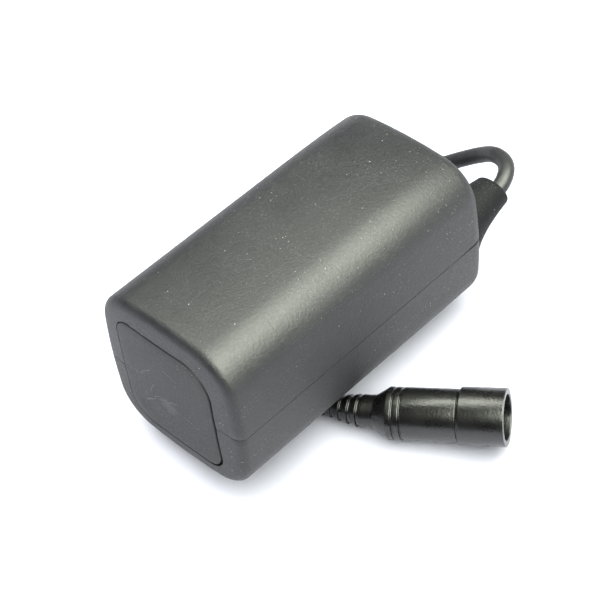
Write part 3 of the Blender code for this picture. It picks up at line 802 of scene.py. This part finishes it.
def make_boss(finish):
    """The tapered boss, flush with the side of the case at its root and rounded at its tip."""
    rings = []
    for k in range(BOSS_STEPS + 1):
        distance = BOSS_LENGTH * k / BOSS_STEPS
        centre, side, up, down = boss_section(distance)
        lean = max(0.0, (distance - LEAN_STARTS_AT) / (BOSS_LENGTH - LEAN_STARTS_AT))
        rings.append(boss_ring(CASE_LENGTH + BOSS_GAP + distance, centre, side, up, down, lean))
    for a in rim_turns(6)[1:]:
        radius = BOSS_TIP_RADIUS - BOSS_ROUNDING * 1.1 * (1 - math.cos(a))
        y = CASE_LENGTH + BOSS_LENGTH + BOSS_ROUNDING * math.sin(a)
        rings.append(boss_ring(y, BOSS_TIP, radius, radius, radius, 1.0))
    boss = skin("boss", rings, case_frame())
    return finish_piece(boss, finish, "case_soft_touch", "cable_boss")


# ---------------------------------------------------------------- the plug


def tail_profile():
    """(distance, radius) of the ribbed strain relief, which tapers to just over the lead."""
    lead = LEAD_DIAMETER / 2
    points = []
    for rib in range(RIB_COUNT):
        start = RIB_FRONT + rib * RIB_PITCH
        radius = max(NECK_RADIUS - TAIL_TAPER * (start - RIB_FRONT), lead + RIB_DEPTH)
        root = radius - RIB_DEPTH
        points += [
            (start, radius), (start + 0.1 * MM, root), (start + 0.75 * MM, root), (start + 0.85 * MM, radius),
        ]
    return points + [(PLUG_LENGTH - 0.4 * MM, lead + 0.35 * MM), (PLUG_LENGTH, lead)]


def make_plug_body(finish):
    """The overmoulded body: open socket, two ring grooves, cone, neck and ribbed tail."""
    front = SLEEVE_LENGTH + SLEEVE_GAP
    profile = [(SOCKET_DEPTH, 0), (SOCKET_DEPTH, SOCKET_RADIUS), (front, SOCKET_RADIUS), (front, BODY_RADIUS)]
    root = BODY_RADIUS - GROOVE_DEPTH
    for start in GROOVES:
        end = start + GROOVE_WIDTH
        profile += [(start, BODY_RADIUS), (start + GROOVE_EDGE, root)]
        profile += [(end - GROOVE_EDGE, root), (end, BODY_RADIUS)]
    profile += [(CONE_FRONT, BODY_RADIUS), (CONE_BACK, NECK_RADIUS + 0.15 * MM), (NECK_FRONT, NECK_RADIUS)]
    profile += tail_profile() + [(PLUG_LENGTH, 0)]
    body = turned("plug_moulding", softened(profile, 0.18 * MM), plug_axis, 96, sharp=50)
    return finish_piece(body, finish, "plug_rubber", "plug_body")


def make_sleeve(finish):
    """The wider sleeve round the mouth, with a small step where it meets the body."""
    step = BODY_RADIUS - 0.02 * MM
    profile = [
        (2 * MM, SOCKET_RADIUS), (0, SOCKET_RADIUS), (0, SLEEVE_RADIUS),
        (SLEEVE_LENGTH - 0.5 * MM, SLEEVE_RADIUS), (SLEEVE_LENGTH - 0.25 * MM, step), (SLEEVE_LENGTH, step),
        (SLEEVE_LENGTH, SOCKET_RADIUS), (2.2 * MM, SOCKET_RADIUS),
    ]
    sleeve = turned("mouth_sleeve", softened(profile, 0.22 * MM), plug_axis, 96, looped=True, sharp=50)
    return finish_piece(sleeve, finish, "plug_rubber", "plug_sleeve")


def make_carrier(finish):
    """The insulator deep in the socket, which holds the contacts."""
    radius = SOCKET_RADIUS - 0.3 * MM
    back = SOCKET_DEPTH - 0.3 * MM
    profile = [
        (CONTACT_FLOOR, 0), (CONTACT_FLOOR, CONTACT_BORE), (CARRIER_FRONT, CONTACT_BORE),
        (CARRIER_FRONT, radius), (back, radius), (back, 0),
    ]
    carrier = turned("contact_carrier", softened(profile, 0.3 * MM), plug_axis, 72, sharp=50)
    return finish_piece(carrier, finish, "carrier_plastic", "socket_carrier")


def make_contacts(finish):
    """The barrel contact and the centre pin."""
    outer = CONTACT_BORE - 0.2 * MM
    inner = outer - 0.35 * MM
    back = CONTACT_FLOOR - 0.3 * MM
    profile = [
        (12 * MM, inner), (8.6 * MM, inner), (8.6 * MM, outer), (back, outer), (back, inner),
        (12.2 * MM, inner),
    ]
    barrel = turned("barrel_contact", softened(profile, 0.12 * MM), plug_axis, 72, looped=True, sharp=50)
    finish_piece(barrel, finish, "nickel", "socket_barrel_contact")
    profile = [(9.5 * MM, 0), (9.5 * MM, PIN_RADIUS), (back, PIN_RADIUS), (back, 0)]
    pin = turned("centre_pin", softened(profile, 0.5 * MM), plug_axis, 48, sharp=50)
    finish_piece(pin, finish, "nickel", "socket_centre_pin")
    return [barrel, pin]


def make_plug(plated):
    rubber = plug_finish()
    insulator = moulded("carrier_plastic", (0.012, 0.012, 0.012), 0.5)
    return [make_plug_body(rubber), make_sleeve(rubber), make_carrier(insulator), *make_contacts(plated)]


# ---------------------------------------------------------------- inner pieces and the studio


def dress_inner_nodes(plated):
    """The carried-over pieces inside the case keep their shape and get their own finishes."""
    can = metal("can_steel", (0.56, 0.56, 0.57), 0.32)
    wrap = moulded("wrap_film", (0.05, 0.22, 0.45), 0.32)
    card = moulded("insulating_card", (0.72, 0.70, 0.64), 0.8)
    chip = moulded("chip_epoxy", (0.02, 0.02, 0.02), 0.5)
    finishes = {
        "_can": can, "_wrap": wrap, "_insulator_ring": card, "_button": plated, "strip_": plated,
        "insulator_": card, "foam_pad": foam_finish(), "cell_band": tape_finish(),
        "protection_board": board_finish(), "switch_transistor": chip, "protection_controller": chip,
        "lead_positive": moulded("red_insulation", (0.55, 0.02, 0.02), 0.4),
        "lead_negative": moulded("black_insulation", (0.02, 0.02, 0.02), 0.4),
        "lead_midpoint": moulded("white_insulation", (0.72, 0.72, 0.69), 0.4),
    }
    for name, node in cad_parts.items():
        if node.hide_render:
            continue
        for key, finish in finishes.items():
            if key in name:
                node.data.materials.clear()
                node.data.materials.append(finish)
                break


def make_floor():
    made = Finish("floor_sheet", (0.90, 0.90, 0.90), 0.75)
    made.colour(made.blended(made.noise(0.02, 2.0), (0.872, 0.880, 0.915), (0.882, 0.890, 0.925)))
    bm = bmesh.new()
    bmesh.ops.create_grid(bm, x_segments=8, y_segments=8, size=3.0)
    floor = add_object("floor", bm)
    floor.data.materials.append(made.material)


def make_light(name, x, y, size, power, colour):
    """A soft rectangular light."""
    place = Vector((x, y, LIGHT_HEIGHT))
    data = bpy.data.lights.new(name, "AREA")
    data.shape = "RECTANGLE"
    data.size, data.size_y = size
    data.energy = power
    data.color = colour
    light = bpy.data.objects.new(name, data)
    bpy.context.scene.collection.objects.link(light)
    light.location = place
    light.rotation_mode = "QUATERNION"
    light.rotation_quaternion = (LIGHTS_LOOK_AT - place).to_track_quat("-Z", "Y")
    return light


def make_studio():
    """A pale floor under a large ceiling light, with two softboxes that show only in the gloss."""
    make_floor()
    world = bpy.data.worlds.new("studio")
    world.use_nodes = True
    background = world.node_tree.nodes["Background"]
    background.inputs["Color"].default_value = (0.93, 0.96, 1.0, 1.0)
    background.inputs["Strength"].default_value = 0.03
    bpy.context.scene.world = world
    ceiling = make_light("ceiling", 0.02, 0.02, (1.5, 1.5), 29.5, (0.95, 0.972, 1.0))
    ceiling.visible_glossy = False
    softbox = make_light("softbox", 0.36, 0.17, (1.45, 0.85), 70.0, (0.965, 1.0, 0.85))
    softbox.visible_diffuse = False
    window = make_light("window", -0.44, 0.12, (0.46, 0.42), 6.6, (0.97, 1.0, 0.88))
    window.visible_diffuse = False
    view = bpy.context.scene.view_settings
    view.view_transform = "Standard"
    view.look = "None"
    view.exposure = 0.0


def main():
    make_camera()
    plated = metal("nickel", (0.66, 0.64, 0.60), 0.28)
    plug_pieces = make_plug(plated)
    lead, leaves_at = make_lead(lead_finish())
    case = case_finish()
    make_shell("case_upper", 1, case, "upper_shell")
    make_shell("case_lower", -1, case, "lower_shell")
    make_panel(panel_finish())
    make_boss(boss_finish_with_painted_shade())
    dress_inner_nodes(plated)
    make_studio()


main()
